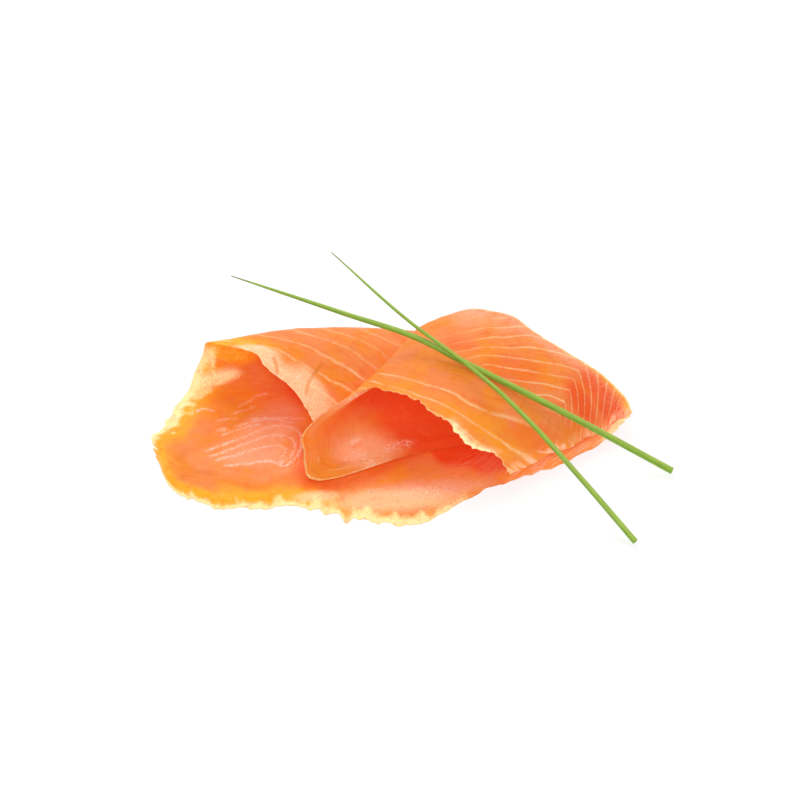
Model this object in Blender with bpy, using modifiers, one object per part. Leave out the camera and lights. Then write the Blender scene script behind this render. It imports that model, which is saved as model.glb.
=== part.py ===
# Smoked salmon: two thin slices folded over each other, with two chives laid across them.
# Sizes are in millimetres and become metres where a mesh is made. +X runs along the length,
# the folded slices open towards -Y, and the lower slice lies flat on z = 0.

import bpy
import numpy as np

MM = 0.001
COLLECTION = "smoked_salmon"
CENTRE = (-1.10, -1.44)     # middle of the whole in the drawing frame, moved to the origin

THICKNESS = 1.8             # of a slice, away from its edges
RIM_THICKNESS = 0.6         # of a slice at its torn edges
RIM_WIDTH = 5.0             # over which a slice thins to its rim
GAP = 0.4                   # between pieces that touch
TONGUE_SOFTNESS = 3.6       # how gently the tongue runs off the base onto the flap
TOP_SOFTNESS = 1.2          # how gently the top comes down on what is below it

# Lower slice: x runs along its fold. u runs across it, from the front edge over the base,
# round the bend at the back and forward over the flap.
BASE_END = 0.46             # u where the base turns into the bend
BEND_END = 0.66             # u where the bend turns into the flap
LOWER_CELLS = (38, 40)
LOWER_LEFT = [(0, -74), (0.1, -78), (0.2, -79.8), (0.3, -76.5), (0.46, -73), (0.56, -66),
              (0.66, -60), (0.72, -51.5), (0.84, -42.6), (0.9, -36.8), (1, -29)]
LOWER_RIGHT = [(0, 61), (0.22, 66), (0.36, 67.5), (0.46, 65), (0.66, 60), (1, 56)]
LOWER_FRONT = [(-80, 0), (-74, -13), (-50, -28.3), (-34, -27), (-18, -32.5), (-4, -35.7),
               (6, -33.5), (14, -24.6), (24, -17.5), (44, -6.8), (52, -0.3), (60, 7.5), (68, 15)]
CREST_Y = [(-80, 24), (-60, 28), (-35, 31), (0, 31), (40, 30), (68, 20)]
CREST_HEIGHT = [(-80, 20), (-60, 21), (-40, 23), (0, 22.5), (14, 21.5), (30, 17),
                (42, 11), (52, 6.3), (60, 4.4), (68, 4.4)]
BEND_DEPTH = [(-80, 7), (-40, 9), (20, 8), (45, 4), (68, 2.2)]
FLAP_FRONT = [(-80, 3), (-30, 3), (0, 5), (30, 10), (56, 18), (68, 18)]
FLAP_EDGE_HEIGHT = 4.2
FLAP_DROOP = 2.2            # power of the flap's fall from its crest to its edge

# Upper slice: p runs along its fold and n across it. u runs from the tongue's hidden edge
# over the tongue, round the bend and over the top to the right edge.
UPPER_CORNER = (-28.0, -13.0)
UPPER_TURN = 45.0           # degrees from +X to the fold
TONGUE_END = 0.36           # u where the tongue turns into the bend
TOP_START = 0.54            # u where the bend turns into the top
UPPER_CELLS = (32, 26)
UPPER_FRONT = [(0, 52), (0.1, 37), (0.18, 23.3), (0.26, 3), (0.36, -3.5), (0.42, -1.4),
               (0.48, 1), (0.51, 11), (0.54, 19.5), (0.6, 22.3), (0.84, 27), (0.91, 28.8),
               (0.95, 34.6), (1, 36.2)]
UPPER_BACK = [(0, 60), (0.36, 51), (0.45, 59.5), (0.5, 65.5), (0.54, 69), (0.62, 74.5), (0.7, 76),
              (0.78, 81.2), (0.88, 86.6), (0.95, 88), (1, 86.2)]
TONGUE_WIDTH = [(0, 22), (60, 29)]
TOP_WIDTH = [(20, 42), (37, 43), (55, 46), (76, 49), (84, 49.6), (91, 48.4)]
UPPER_BEND_DEPTH = [(-5, 5.5), (10, 6.5), (20, 6), (33, 6), (43, 7.2), (50, 9), (57, 8.5), (64, 6.8),
                    (72, 5)]
TOP_HEIGHT = [(-5, 20), (15, 22), (40, 26.5), (60, 28.5), (75, 28.5), (91, 24)]
TOP_DROOP = [(15, 3.6), (40, 2.8), (80, 1.7), (91, 1.6)]
TOP_EDGE_HEIGHT = 4.6

# Torn edges: length of each edge, largest step in or out of it, and seed
TEAR_SPACING = 5.0
TEARS = {
    "lower_left": (130, 0.9, 1), "lower_right": (130, 0.9, 2), "lower_front": (145, 0.9, 3),
    "lower_flap": (100, 0.9, 4), "upper_front": (105, 0.4, 5), "upper_back": (105, 0.4, 6),
    "upper_right": (50, 0.4, 7),
}

BEND_ROWS = 1.5             # how many times closer a slice's rows stand round its bend
SLOPE_SPAN = 1.0            # over which the flap's slope is measured

# Chives: route of the axis from the tip to the cut end, and diameter along it
CHIVE_POINTS = 30
CHIVE_SIDES = 2             # bevel resolution: eight sides
LONG_CHIVE = {
    "route": [(-55.0, 33.7, 42.0), (-22.0, 23.0, 35.9), (3.5, 14.4, 31.0), (14.2, 9.0, 27.8),
              (24.9, 4.9, 24.1), (45.0, -1.4, 16.0), (77.3, -10.8, 1.4)],
    "diameter": [(0, 0.3), (0.08, 0.8), (0.3, 1.6), (0.6, 1.9), (1, 2.1)],
}
SLIM_CHIVE = {
    "route": [(-24.8, 41.8, 45.5), (-0.2, 18.5, 34.7), (15.0, 6.3, 29.1), (25.7, -3.2, 24.6),
              (34.9, -12.3, 19.6), (49.0, -27.4, 10.5), (63.4, -44.2, 1.2)],
    "diameter": [(0, 0.3), (0.08, 0.6), (0.4, 1.2), (0.7, 1.5), (1, 1.8)],
}

MATERIALS = {
    "smoked_fish": {"color": (0.93, 0.34, 0.14), "roughness": 0.32, "metallic": 0.0},
    "chive_green": {"color": (0.36, 0.53, 0.09), "roughness": 0.45, "metallic": 0.0},
}


def clear_scene():
    for thing in list(bpy.data.objects):
        bpy.data.objects.remove(thing, do_unlink=True)


def make_material(name):
    look = MATERIALS[name]
    material = bpy.data.materials.new(name)
    material.use_nodes = True
    shader = material.node_tree.nodes["Principled BSDF"]
    shader.inputs["Base Color"].default_value = (*look["color"], 1.0)
    shader.inputs["Roughness"].default_value = look["roughness"]
    shader.inputs["Metallic"].default_value = look["metallic"]
    material.diffuse_color = (*look["color"], 1.0)
    return material


def curve_through(knots, at):
    """Smooth curve through (place, value) knots, read at an array of places."""
    place, value = np.array(knots, float).T
    at = np.clip(np.asarray(at, float), place[0], place[-1])
    step = np.diff(place)
    slope = np.diff(value) / step
    tangent = np.empty(len(place))
    tangent[0], tangent[-1] = slope[0], slope[-1]
    tangent[1:-1] = (slope[:-1] * step[1:] + slope[1:] * step[:-1]) / (step[1:] + step[:-1])
    low = np.clip(np.searchsorted(place, at, side="right") - 1, 0, len(place) - 2)
    width = step[low]
    t = (at - place[low]) / width
    return (value[low] * (1 + 2 * t) * (1 - t) ** 2 + tangent[low] * width * t * (1 - t) ** 2
            + value[low + 1] * t * t * (3 - 2 * t) + tangent[low + 1] * width * t * t * (t - 1))


def tear(edge, at):
    """Uneven in-and-out of a torn edge, at shares of its length."""
    length, size, seed = TEARS[edge]
    count = int(length / TEAR_SPACING) + 1
    steps = np.random.default_rng(seed).uniform(-size, size, count)
    return np.interp(at, np.linspace(0, 1, count), steps)


def flap_height(x, y):
    """Top of the lower slice's flap, carried on downwards past its edge."""
    crest = curve_through(CREST_Y, x)
    top = curve_through(CREST_HEIGHT, x)
    reach = np.clip((crest - y) / (crest - curve_through(FLAP_FRONT, x)), 0, None)
    return FLAP_EDGE_HEIGHT + (top - FLAP_EDGE_HEIGHT) * (1 - reach ** FLAP_DROOP)


def clear_of_lower(x, y):
    """Lowest height at which something may lie over the lower slice."""
    step = SLOPE_SPAN / 2
    slope_x = (flap_height(x + step, y) - flap_height(x - step, y)) / SLOPE_SPAN
    slope_y = (flap_height(x, y + step) - flap_height(x, y - step)) / SLOPE_SPAN
    over_flap = flap_height(x, y) + GAP * np.sqrt(1 + slope_x ** 2 + slope_y ** 2)
    over_base = THICKNESS + GAP
    return (over_flap + over_base + np.hypot(over_flap - over_base, TONGUE_SOFTNESS)) / 2


def lower_surface(u, v):
    """Outer face of the lower slice."""
    left = curve_through(LOWER_LEFT, u) + tear("lower_left", u)
    right = curve_through(LOWER_RIGHT, u) + tear("lower_right", u)
    x = left + (right - left) * v
    front = curve_through(LOWER_FRONT, x) + tear("lower_front", v)
    crest = curve_through(CREST_Y, x)
    top = curve_through(CREST_HEIGHT, x)
    flap = curve_through(FLAP_FRONT, x) + tear("lower_flap", v)
    along_base = np.clip(u / BASE_END, 0, 1)
    turn = np.pi * np.clip((u - BASE_END) / (BEND_END - BASE_END), 0, 1) - np.pi / 2
    along_flap = np.clip((u - BEND_END) / (1 - BEND_END), 0, 1)
    y = front + (crest - front) * along_base + curve_through(BEND_DEPTH, x) * np.cos(turn)
    y = np.where(u > BEND_END, crest + (flap - crest) * along_flap, y)
    z = np.where(u > BEND_END, flap_height(x, y), top / 2 * (1 + np.sin(turn)))
    return np.stack([x, y, z], -1)


def upper_plan(p, n):
    """x and y of a place p along and n across the upper slice's fold."""
    turn = np.radians(UPPER_TURN)
    x = UPPER_CORNER[0] + np.cos(turn) * p + np.sin(turn) * n
    y = UPPER_CORNER[1] + np.sin(turn) * p - np.cos(turn) * n
    return x, y


def upper_height(p, n):
    """Top of the upper slice, which never comes closer to the lower one than its thickness."""
    reach = np.clip(n / curve_through(TOP_WIDTH, p), 0, None)
    arch = curve_through(TOP_HEIGHT, p) - TOP_EDGE_HEIGHT
    free = TOP_EDGE_HEIGHT + arch * (1 - reach ** curve_through(TOP_DROOP, p))
    least = clear_of_lower(*upper_plan(p, n)) + THICKNESS
    return (free + least + np.hypot(free - least, TOP_SOFTNESS)) / 2


def upper_surface(u, v):
    """Outer face of the upper slice."""
    front = curve_through(UPPER_FRONT, u) + tear("upper_front", u)
    back = curve_through(UPPER_BACK, u) + tear("upper_back", u)
    p = front + (back - front) * v
    along_tongue = np.clip(u / TONGUE_END, 0, 1)
    turn = np.pi * np.clip((u - TONGUE_END) / (TOP_START - TONGUE_END), 0, 1) - np.pi / 2
    along_top = np.clip((u - TOP_START) / (1 - TOP_START), 0, 1)
    n = curve_through(TONGUE_WIDTH, p) * (1 - along_tongue)
    n = n - curve_through(UPPER_BEND_DEPTH, p) * np.cos(turn)
    width = curve_through(TOP_WIDTH, p) + tear("upper_right", v)
    n = np.where(u > TOP_START, width * along_top, n)
    x, y = upper_plan(p, n)
    rise = (1 + np.sin(turn)) / 2
    bend = clear_of_lower(x, y) * (1 - rise) + upper_height(p, np.zeros_like(p)) * rise
    z = np.where(u > TOP_START, upper_height(p, n), bend)
    return np.stack([x, y, z], -1)


def closer_rows(u, bend_start, bend_end):
    """Sets the rows of a slice closer together round its bend."""
    middle = (bend_start + bend_end) / 2
    reach = (bend_end - bend_start) / 2 * BEND_ROWS
    return np.interp(u, [0, middle - reach, middle + reach, 1], [0, bend_start, bend_end, 1])


def distance_to_edge(points):
    """Distance from each place of a grid of points to the nearest point of its border."""
    border = np.concatenate([points[0], points[-1], points[:, 0], points[:, -1]])
    flat = points.reshape(-1, 3)
    return np.linalg.norm(flat[:, None] - border[None], axis=-1).min(axis=1)


def add_slice(name, surface, cells, bend, material):
    """A grid bent into a folded surface and given its thickness on the inner side."""
    across, along = cells
    bpy.ops.mesh.primitive_grid_add(x_subdivisions=across, y_subdivisions=along, size=1)
    piece = bpy.context.object
    piece.name = piece.data.name = name
    mesh = piece.data
    flat = np.empty(len(mesh.vertices) * 3)
    mesh.vertices.foreach_get("co", flat)
    flat = flat.reshape(-1, 3) + 0.5
    order = np.lexsort((flat[:, 1], flat[:, 0]))
    shape = (across + 1, along + 1)
    u = closer_rows(flat[order, 0].reshape(shape), *bend)
    v = flat[order, 1].reshape(shape)
    points = surface(u, v) - np.array([*CENTRE, 0.0])
    placed = np.empty_like(flat)
    placed[order] = points.reshape(-1, 3) * MM
    mesh.vertices.foreach_set("co", placed.ravel())
    mesh.update()
    full = np.empty(len(flat))
    full[order] = np.clip(distance_to_edge(points) / RIM_WIDTH, 0, 1)
    group = piece.vertex_groups.new(name="full_thickness")
    for index, weight in enumerate(full):
        group.add([index], float(weight), "REPLACE")
    wall = piece.modifiers.new("thickness", "SOLIDIFY")
    wall.thickness = THICKNESS * MM
    wall.offset = -1.0
    wall.vertex_group = group.name
    wall.thickness_vertex_group = RIM_THICKNESS / THICKNESS
    mesh.materials.append(material)
    mesh.shade_smooth()
    return piece


def add_chive(name, chive, material):
    """A round blade that tapers from its cut end to a fine tip, along a smooth route."""
    route = np.array(chive["route"]) - np.array([*CENTRE, 0.0])
    share = np.linspace(0, 1, CHIVE_POINTS)
    run = np.concatenate([[0], np.cumsum(np.linalg.norm(np.diff(route, axis=0), axis=1))])
    run /= run[-1]
    points = [curve_through(np.column_stack([run, route[:, axis]]), share) for axis in range(3)]
    radius = curve_through(chive["diameter"], share) / 2
    curve = bpy.data.curves.new(name, "CURVE")
    curve.dimensions = "3D"
    curve.bevel_depth = MM
    curve.bevel_resolution = CHIVE_SIDES
    curve.use_fill_caps = True
    spline = curve.splines.new("POLY")
    spline.points.add(CHIVE_POINTS - 1)
    places = np.column_stack([np.column_stack(points) * MM, np.ones(CHIVE_POINTS)])
    spline.points.foreach_set("co", places.ravel())
    spline.points.foreach_set("radius", radius)
    curve.materials.append(material)
    piece = bpy.data.objects.new(name, curve)
    return piece


def main():
    clear_scene()
    collection = bpy.data.collections.new(COLLECTION)
    bpy.context.scene.collection.children.link(collection)
    fish = make_material("smoked_fish")
    green = make_material("chive_green")
    slices = [
        add_slice("lower_slice", lower_surface, LOWER_CELLS, (BASE_END, BEND_END), fish),
        add_slice("upper_slice", upper_surface, UPPER_CELLS, (TONGUE_END, TOP_START), fish),
    ]
    for piece in slices:
        for holder in list(piece.users_collection):
            holder.objects.unlink(piece)
        collection.objects.link(piece)
    collection.objects.link(add_chive("long_chive", LONG_CHIVE, green))
    collection.objects.link(add_chive("slim_chive", SLIM_CHIVE, green))


main()
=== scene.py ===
# Smoked salmon: two folded slices with two chives across them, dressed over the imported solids.
# Sizes are in millimetres in a drawing frame whose middle is "centre"; meshes are made in metres.

import bpy
import numpy as np
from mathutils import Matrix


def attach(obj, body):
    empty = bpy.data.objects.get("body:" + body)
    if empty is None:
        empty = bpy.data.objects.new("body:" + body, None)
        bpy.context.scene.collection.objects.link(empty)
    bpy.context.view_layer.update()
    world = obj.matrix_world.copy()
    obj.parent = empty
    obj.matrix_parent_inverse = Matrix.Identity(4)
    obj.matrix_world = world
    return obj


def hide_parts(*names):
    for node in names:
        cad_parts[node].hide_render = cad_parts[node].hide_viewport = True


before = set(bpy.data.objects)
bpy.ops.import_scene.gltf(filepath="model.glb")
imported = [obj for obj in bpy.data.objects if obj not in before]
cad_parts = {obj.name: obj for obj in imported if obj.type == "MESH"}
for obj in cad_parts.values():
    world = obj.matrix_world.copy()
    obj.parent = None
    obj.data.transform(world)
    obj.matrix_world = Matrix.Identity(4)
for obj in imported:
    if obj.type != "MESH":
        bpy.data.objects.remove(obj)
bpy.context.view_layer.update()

mm = 0.001
centre = np.array([-1.10, -1.44, 0.0])
latticeSize = 64   # the random heights repeat after this many places


# Numbers and curves

def curveThrough(knots, at):   # cubic pieces through (place, value) knots, slopes averaged at each knot
    place, value = np.array(knots, float).T
    at = np.clip(np.asarray(at, float), place[0], place[-1])
    step = np.diff(place)
    slope = np.diff(value) / step
    tangent = np.empty(len(place))
    tangent[0], tangent[-1] = slope[0], slope[-1]
    tangent[1:-1] = (slope[:-1] * step[1:] + slope[1:] * step[:-1]) / (step[1:] + step[:-1])
    low = np.clip(np.searchsorted(place, at, side="right") - 1, 0, len(place) - 2)
    width = step[low]
    t = (at - place[low]) / width
    return (value[low] * (1 + 2 * t) * (1 - t) ** 2 + tangent[low] * width * t * (1 - t) ** 2
            + value[low + 1] * t * t * (3 - 2 * t) + tangent[low + 1] * width * t * t * (t - 1))


def rise(value, low, high):   # 0 below low, 1 above high, smooth between; low may be the larger
    t = np.clip((value - low) / (high - low), 0, 1)
    return t * t * (3 - 2 * t)


def steps(at, length, spacing, size, seed):   # straight pieces between random heights along an edge
    count = int(length / spacing) + 1
    heights = np.random.default_rng(seed).uniform(-size, size, count)
    return np.interp(at, np.linspace(0, 1, count), heights)


def unevenness(a, b, spacing, seed):   # random heights on a square lattice, joined smoothly, about -1 to 1
    lattice = np.random.default_rng(seed).uniform(-1, 1, (latticeSize, latticeSize))
    i, j = a / spacing + 1000, b / spacing + 1000   # moved along, so that no place is below zero
    i0, j0 = np.floor(i).astype(int), np.floor(j).astype(int)
    s, t = i - i0, j - j0
    s, t = s * s * (3 - 2 * s), t * t * (3 - 2 * t)

    def height(p, q):
        return lattice[p % latticeSize, q % latticeSize]

    near = height(i0, j0) * (1 - s) + height(i0 + 1, j0) * s
    far = height(i0, j0 + 1) * (1 - s) + height(i0 + 1, j0 + 1) * s
    return near * (1 - t) + far * t


def layered(a, b, layers):   # sum of random heights, each with its spacing in mm, seed and size
    return sum(size * unevenness(a, b, spacing, seed) for spacing, seed, size in layers)


def linear(red, green, blue):   # a colour read from 0 to 255, as light
    c = np.array([red, green, blue]) / 255
    return (*np.where(c <= 0.04045, c / 12.92, ((c + 0.055) / 1.055) ** 2.4), 1.0)


# Mesh making

def makeMesh(name, points, faces, notes):   # points in mm in the drawing frame; notes are point attributes
    mesh = bpy.data.meshes.new(name)
    mesh.from_pydata(((points - centre) * mm).tolist(), [], faces)
    for label, values in notes.items():
        note = mesh.attributes.new(label, "FLOAT_VECTOR", "POINT")
        note.data.foreach_set("vector", values.astype(np.float32).ravel())
    mesh.validate()
    mesh.shade_smooth()
    piece = bpy.data.objects.new(name, mesh)
    bpy.context.scene.collection.objects.link(piece)
    return piece


def gridQuads(rows, columns, closed=False):   # the quads of a grid of points, closed round each row or not
    i = np.arange(rows - 1)[:, None]
    j = np.arange(columns if closed else columns - 1)[None, :]
    k = (j + 1) % columns
    a, b, c, d = np.broadcast_arrays(i * columns + j, (i + 1) * columns + j,
                                     (i + 1) * columns + k, i * columns + k)
    return np.stack([a, b, c, d], -1).reshape(-1, 4)


def outwards(points):   # unit cross product of the grid's two directions
    across, along = np.gradient(points, axis=0), np.gradient(points, axis=1)
    normal = np.cross(across, along)
    return normal / np.maximum(np.linalg.norm(normal, axis=-1, keepdims=True), 1e-9)


def edgeRuns(points):   # way along the grid's lines to the first row, last row, first and last column
    runs = []
    for axis in (0, 1):
        step = np.linalg.norm(np.diff(points, axis=axis), axis=-1)
        start = np.zeros_like(points[:1, :, 0] if axis == 0 else points[:, :1, 0])
        run = np.concatenate([start, np.cumsum(step, axis=axis)], axis=axis)
        runs += [run, run.max(axis=axis, keepdims=True) - run]
    return runs


def makeSlice(name, outer, inner, notes):   # both faces of a slice and the rim that joins them
    rows, columns = outer.shape[:2]
    count = rows * columns
    index = np.arange(count).reshape(rows, columns)
    border = np.concatenate([index[:-1, 0], index[-1, :-1], index[:0:-1, -1], index[0, :0:-1]])
    following = np.roll(border, -1)
    front = gridQuads(rows, columns)
    back = front[:, ::-1] + count
    rim = np.stack([following, border, border + count, following + count], -1)
    points = np.concatenate([outer.reshape(-1, 3), inner.reshape(-1, 3)])
    return makeMesh(name, points, np.concatenate([front, back, rim]).tolist(), notes)


# Shader building

class Wire:   # one output of a shader node; arithmetic on it adds Math nodes
    def __init__(self, paint, socket):
        self.paint = paint
        self.socket = socket

    def math(self, operation, first, second):
        return self.paint.node("Math", {"operation": operation}, {0: first, 1: second})

    def __add__(self, other):
        return self.math("ADD", self, other)

    def __radd__(self, other):
        return self.math("ADD", other, self)

    def __sub__(self, other):
        return self.math("SUBTRACT", self, other)

    def __rsub__(self, other):
        return self.math("SUBTRACT", other, self)

    def __mul__(self, other):
        return self.math("MULTIPLY", self, other)

    def __rmul__(self, other):
        return self.math("MULTIPLY", other, self)

    def held(self):   # no less than 0 and no more than 1
        return self.paint.node("Clamp", {}, {"Value": self})

    def between(self, low, high):   # 0 at low, 1 at high, smooth and held outside
        sockets = {"Value": self, "From Min": low, "From Max": high}
        return self.paint.node("MapRange", {"interpolation_type": "SMOOTHSTEP"}, sockets)

    def line(self, width):   # 1 on whole numbers, falling to 0 at that distance from them
        away = self.math("PINGPONG", self, 0.5)
        return 1 - away.between(0, width)


class Paint:   # a material with one Principled shader
    def __init__(self, name, fixed):
        self.material = bpy.data.materials.new(name)
        self.material.use_nodes = True
        self.tree = self.material.node_tree
        self.shader = self.tree.nodes["Principled BSDF"]
        for label, value in fixed.items():
            self.shader.inputs[label].default_value = value

    def node(self, kind, settings, sockets, out=0):   # settings first, then values or links of the sockets
        made = self.tree.nodes.new("ShaderNode" + kind)
        for label, value in settings.items():
            setattr(made, label, value)
        for label, value in sockets.items():
            self.feed(made.inputs[label], value)
        return Wire(self, made.outputs[out])

    def feed(self, socket, value):
        if isinstance(value, Wire):
            self.tree.links.new(value.socket, socket)
        else:
            socket.default_value = value

    def set(self, label, value):
        self.feed(self.shader.inputs[label], value)

    def blend(self, share, first, second):   # colours, first where share is 0
        return self.node("Mix", {"data_type": "RGBA"}, {0: share, 6: first, 7: second}, out=2)

    def note(self, label):   # a point attribute as three values
        vector = self.node("Attribute", {"attribute_name": label}, {}, out=1)
        return [self.node("SeparateXYZ", {}, {0: vector}, out=k) for k in range(3)]

    def place(self):   # object coordinates in millimetres
        where = self.node("TexCoord", {}, {}, out=3)
        return self.node("VectorMath", {"operation": "SCALE"}, {0: where, "Scale": 1 / mm})

    def join(self, x, y, z=0.0):
        return self.node("CombineXYZ", {}, {0: x, 1: y, 2: z})

    def noise(self, where, scale, detail=2.0, roughness=0.5, warp=0.0):
        sockets = {"Vector": where, "Scale": scale, "Detail": detail, "Roughness": roughness,
                   "Distortion": warp}
        return self.node("TexNoise", {}, sockets)

    def cells(self, where, scale):   # distance to the nearest of many scattered points
        return self.node("TexVoronoi", {}, {"Vector": where, "Scale": scale})

    def bump(self, height, strength, depth, normal=None):
        sockets = {"Height": height, "Strength": strength, "Distance": depth}
        if normal is not None:
            sockets["Normal"] = normal
        return self.node("Bump", {}, sockets)


# The forms both slices share with the solids

coarseTears = {   # the solids' torn edges: length of the edge, largest step in or out, seed
    "lowerLeft": (130, 0.9, 1), "lowerRight": (130, 0.9, 2), "lowerFront": (145, 0.9, 3),
    "lowerFlap": (100, 0.9, 4), "upperFront": (105, 0.4, 5), "upperBack": (105, 0.4, 6),
    "upperRight": (50, 0.4, 7),
}


def tear(edge, at):   # steps along a named edge
    length, size, seed = coarseTears[edge]
    return steps(at, length, 5.0, size, seed)


lower = {
    "grid": (204, 226), "thickness": 1.8, "rim": 0.3, "rimWidth": 5.0, "gap": 0.4,
    "baseEnd": 0.46, "bendEnd": 0.66,
    "left": [(0, -74), (0.1, -78), (0.2, -79.8), (0.3, -76.5), (0.46, -73), (0.56, -66),
             (0.66, -60), (0.72, -51.5), (0.84, -42.6), (0.9, -36.8), (1, -29)],
    "right": [(0, 61), (0.22, 66), (0.36, 67.5), (0.46, 65), (0.66, 60), (1, 56)],
    "front": [(-80, 0), (-74, -13), (-50, -28.3), (-34, -27), (-18, -32.5), (-4, -35.7),
              (6, -33.5), (14, -24.6), (24, -17.5), (44, -6.8), (52, -0.3), (60, 7.5), (68, 15)],
    "crest": [(-80, 24), (-60, 28), (-35, 31), (0, 31), (40, 30), (68, 20)],
    "crestHeight": [(-80, 20), (-60, 21), (-40, 23), (0, 22.5), (14, 21.5), (30, 17),
                    (42, 11), (52, 6.3), (60, 4.4), (68, 4.4)],
    "bendDepth": [(-80, 7), (-40, 9), (20, 8), (45, 4), (68, 2.2)],
    "flapFront": [(-80, 3), (-30, 3), (0, 5), (30, 10), (56, 18), (68, 18)],
    "flapEdgeHeight": 4.2, "flapDroop": 2.2,
}
upper = {
    "grid": (228, 188), "thickness": 1.8, "rim": 0.3, "rimWidth": 5.0,
    "corner": (-28.0, -13.0), "turn": 45.0, "tongueEnd": 0.36, "topStart": 0.54,
    "front": [(0, 52), (0.1, 37), (0.18, 23.3), (0.26, 3), (0.36, -3.5), (0.42, -1.4),
              (0.48, 1), (0.51, 11), (0.54, 19.5), (0.6, 22.3), (0.84, 27), (0.91, 28.8),
              (0.95, 34.6), (1, 36.2)],
    "back": [(0, 60), (0.36, 51), (0.45, 59.5), (0.5, 65.5), (0.54, 69), (0.62, 74.5), (0.7, 76),
             (0.78, 81.2), (0.88, 86.6), (0.95, 88), (1, 86.2)],
    "tongueWidth": [(0, 22), (60, 29)],
    "topWidth": [(20, 42), (37, 43), (55, 46), (76, 49), (84, 49.6), (91, 48.4)],
    "bendDepth": [(-5, 5.5), (10, 6.5), (20, 6), (33, 6), (43, 7.2), (50, 9), (57, 8.5), (64, 6.8),
                  (72, 5)],
    "topHeight": [(-5, 20), (15, 22), (40, 26.5), (60, 28.5), (75, 28.5), (91, 24)],
    "topDroop": [(15, 3.6), (40, 2.8), (80, 1.7), (91, 1.6)],
    "topEdgeHeight": 4.6, "tongueSoftness": 3.6, "topSoftness": 1.2, "slopeSpan": 1.0,
}


def flapHeight(x, y):   # falls from the crest by a power of the way to the flap's edge
    crest = curveThrough(lower["crest"], x)
    top, edge = curveThrough(lower["crestHeight"], x), lower["flapEdgeHeight"]
    reach = np.clip((crest - y) / (crest - curveThrough(lower["flapFront"], x)), 0, None)
    return edge + (top - edge) * (1 - reach ** lower["flapDroop"])


def clearOfLower(x, y):   # smooth greater of the flap's height and the base's, each with the gap
    span = upper["slopeSpan"]
    slopeX = (flapHeight(x + span / 2, y) - flapHeight(x - span / 2, y)) / span
    slopeY = (flapHeight(x, y + span / 2) - flapHeight(x, y - span / 2)) / span
    overFlap = flapHeight(x, y) + lower["gap"] * np.sqrt(1 + slopeX ** 2 + slopeY ** 2)
    overBase = lower["thickness"] + lower["gap"]
    return (overFlap + overBase + np.hypot(overFlap - overBase, upper["tongueSoftness"])) / 2


def turnShare(u, start, end):   # angle round a bend, from straight down to straight up
    return np.pi * np.clip((u - start) / (end - start), 0, 1) - np.pi / 2


def lowerSurface(u, v):   # flat base, half ellipse at the back, then the flap over the base
    left = curveThrough(lower["left"], u) + tear("lowerLeft", u)
    right = curveThrough(lower["right"], u) + tear("lowerRight", u)
    x = left + (right - left) * v
    front = curveThrough(lower["front"], x) + tear("lowerFront", v)
    crest, top = curveThrough(lower["crest"], x), curveThrough(lower["crestHeight"], x)
    flap = curveThrough(lower["flapFront"], x) + tear("lowerFlap", v)
    baseEnd, bendEnd = lower["baseEnd"], lower["bendEnd"]
    turn = turnShare(u, baseEnd, bendEnd)
    y = front + (crest - front) * np.clip(u / baseEnd, 0, 1)
    y = y + curveThrough(lower["bendDepth"], x) * np.cos(turn)
    y = np.where(u > bendEnd, crest + (flap - crest) * (u - bendEnd) / (1 - bendEnd), y)
    z = np.where(u > bendEnd, flapHeight(x, y), top / 2 * (1 + np.sin(turn)))
    return np.stack([x, y, z], -1)


def upperPlan(p, n):   # p runs along the upper slice's fold and n across it
    turn = np.radians(upper["turn"])
    return (upper["corner"][0] + np.cos(turn) * p + np.sin(turn) * n,
            upper["corner"][1] + np.sin(turn) * p - np.cos(turn) * n)


def upperHeight(p, n):   # an arch that falls by a power across the top, held clear of what is below
    reach = np.clip(n / curveThrough(upper["topWidth"], p), 0, None)
    edge = upper["topEdgeHeight"]
    free = edge + (curveThrough(upper["topHeight"], p) - edge) * (
        1 - reach ** curveThrough(upper["topDroop"], p))
    least = clearOfLower(*upperPlan(p, n)) + upper["thickness"]
    return (free + least + np.hypot(free - least, upper["topSoftness"])) / 2


def upperAcross(u, v):   # places p along and n across the upper slice's fold
    front = curveThrough(upper["front"], u) + tear("upperFront", u)
    back = curveThrough(upper["back"], u) + tear("upperBack", u)
    p = front + (back - front) * v
    turn = turnShare(u, upper["tongueEnd"], upper["topStart"])
    n = curveThrough(upper["tongueWidth"], p) * (1 - np.clip(u / upper["tongueEnd"], 0, 1))
    n = n - curveThrough(upper["bendDepth"], p) * np.cos(turn)
    width = curveThrough(upper["topWidth"], p) + tear("upperRight", v)
    alongTop = (u - upper["topStart"]) / (1 - upper["topStart"])
    return p, np.where(u > upper["topStart"], width * alongTop, n)


def upperSurface(u, v):   # tongue on the lower slice, half ellipse at the left, then the arched top
    p, n = upperAcross(u, v)
    x, y = upperPlan(p, n)
    lift = (1 + np.sin(turnShare(u, upper["tongueEnd"], upper["topStart"]))) / 2
    bend = clearOfLower(x, y) * (1 - lift) + upperHeight(p, np.zeros_like(p)) * lift
    return np.stack([x, y, np.where(u > upper["topStart"], upperHeight(p, n), bend)], -1)


def shares(form, bend):   # grid shares u and v, with the rows closer round the bend
    rows, columns = form["grid"]
    middle, reach = (bend[0] + bend[1]) / 2, (bend[1] - bend[0]) * 0.65
    u = np.interp(np.linspace(0, 1, rows), [0, middle - reach, middle + reach, 1], [0, *bend, 1])
    return np.meshgrid(u, np.linspace(0, 1, columns), indexing="ij")


def innerFace(form, outer, runs):   # the outer face moved in by the thickness, which thins to the rim
    near = np.minimum.reduce(runs)
    thick = form["rim"] + (form["thickness"] - form["rim"]) * rise(near, 0, form["rimWidth"])
    return outer - outwards(outer) * thick[..., None]


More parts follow.
